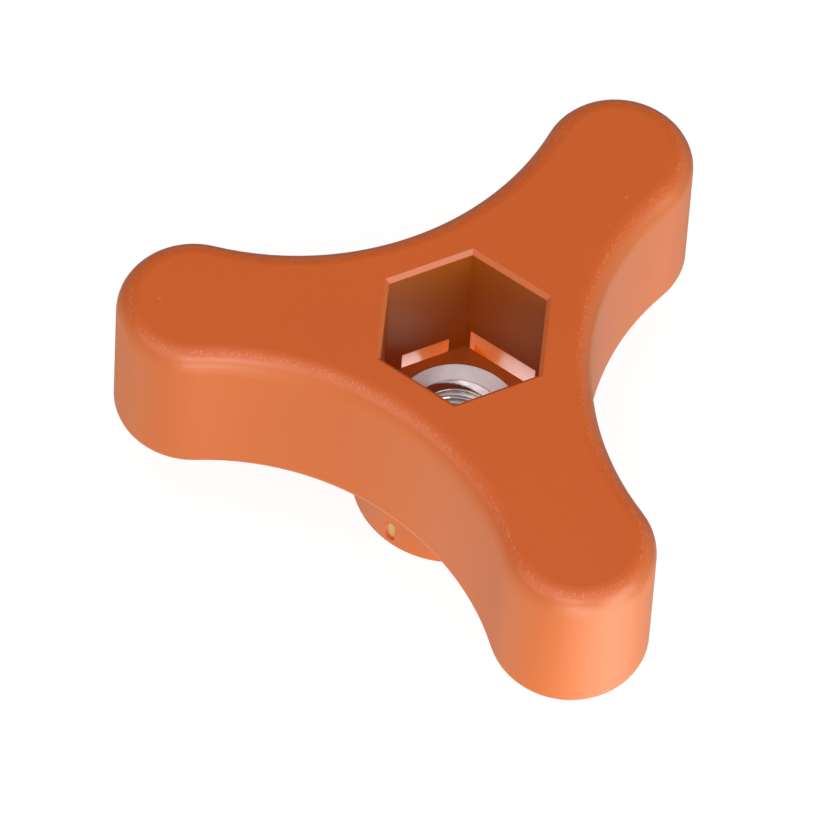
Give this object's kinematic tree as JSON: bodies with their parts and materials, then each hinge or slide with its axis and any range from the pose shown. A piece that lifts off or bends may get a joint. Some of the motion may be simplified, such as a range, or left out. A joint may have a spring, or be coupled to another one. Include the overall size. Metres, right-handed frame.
{
  "type": "three-arm clamping knob",
  "caption": "Three-arm clamping knob in orange plastic with a hexagonal pocket in its top and a threaded metal bush in its hub.",
  "frame": {"origin": "centre of the hub's bottom face, on the thread's axis", "axes": "+Z along the thread's axis from the hub up to the pocket, +X towards one arm"},
  "size_m": [0.0646, 0.0718, 0.0315],
  "materials": {
    "orange_plastic": "fine matt moulded texture outside, smoother in the pocket",
    "turned_steel": "turned, bright zinc plated"
  },
  "bodies": {
    "root": {"knob_body": "orange_plastic", "threaded_bush": "turned_steel"}
  },
  "joints": []
}
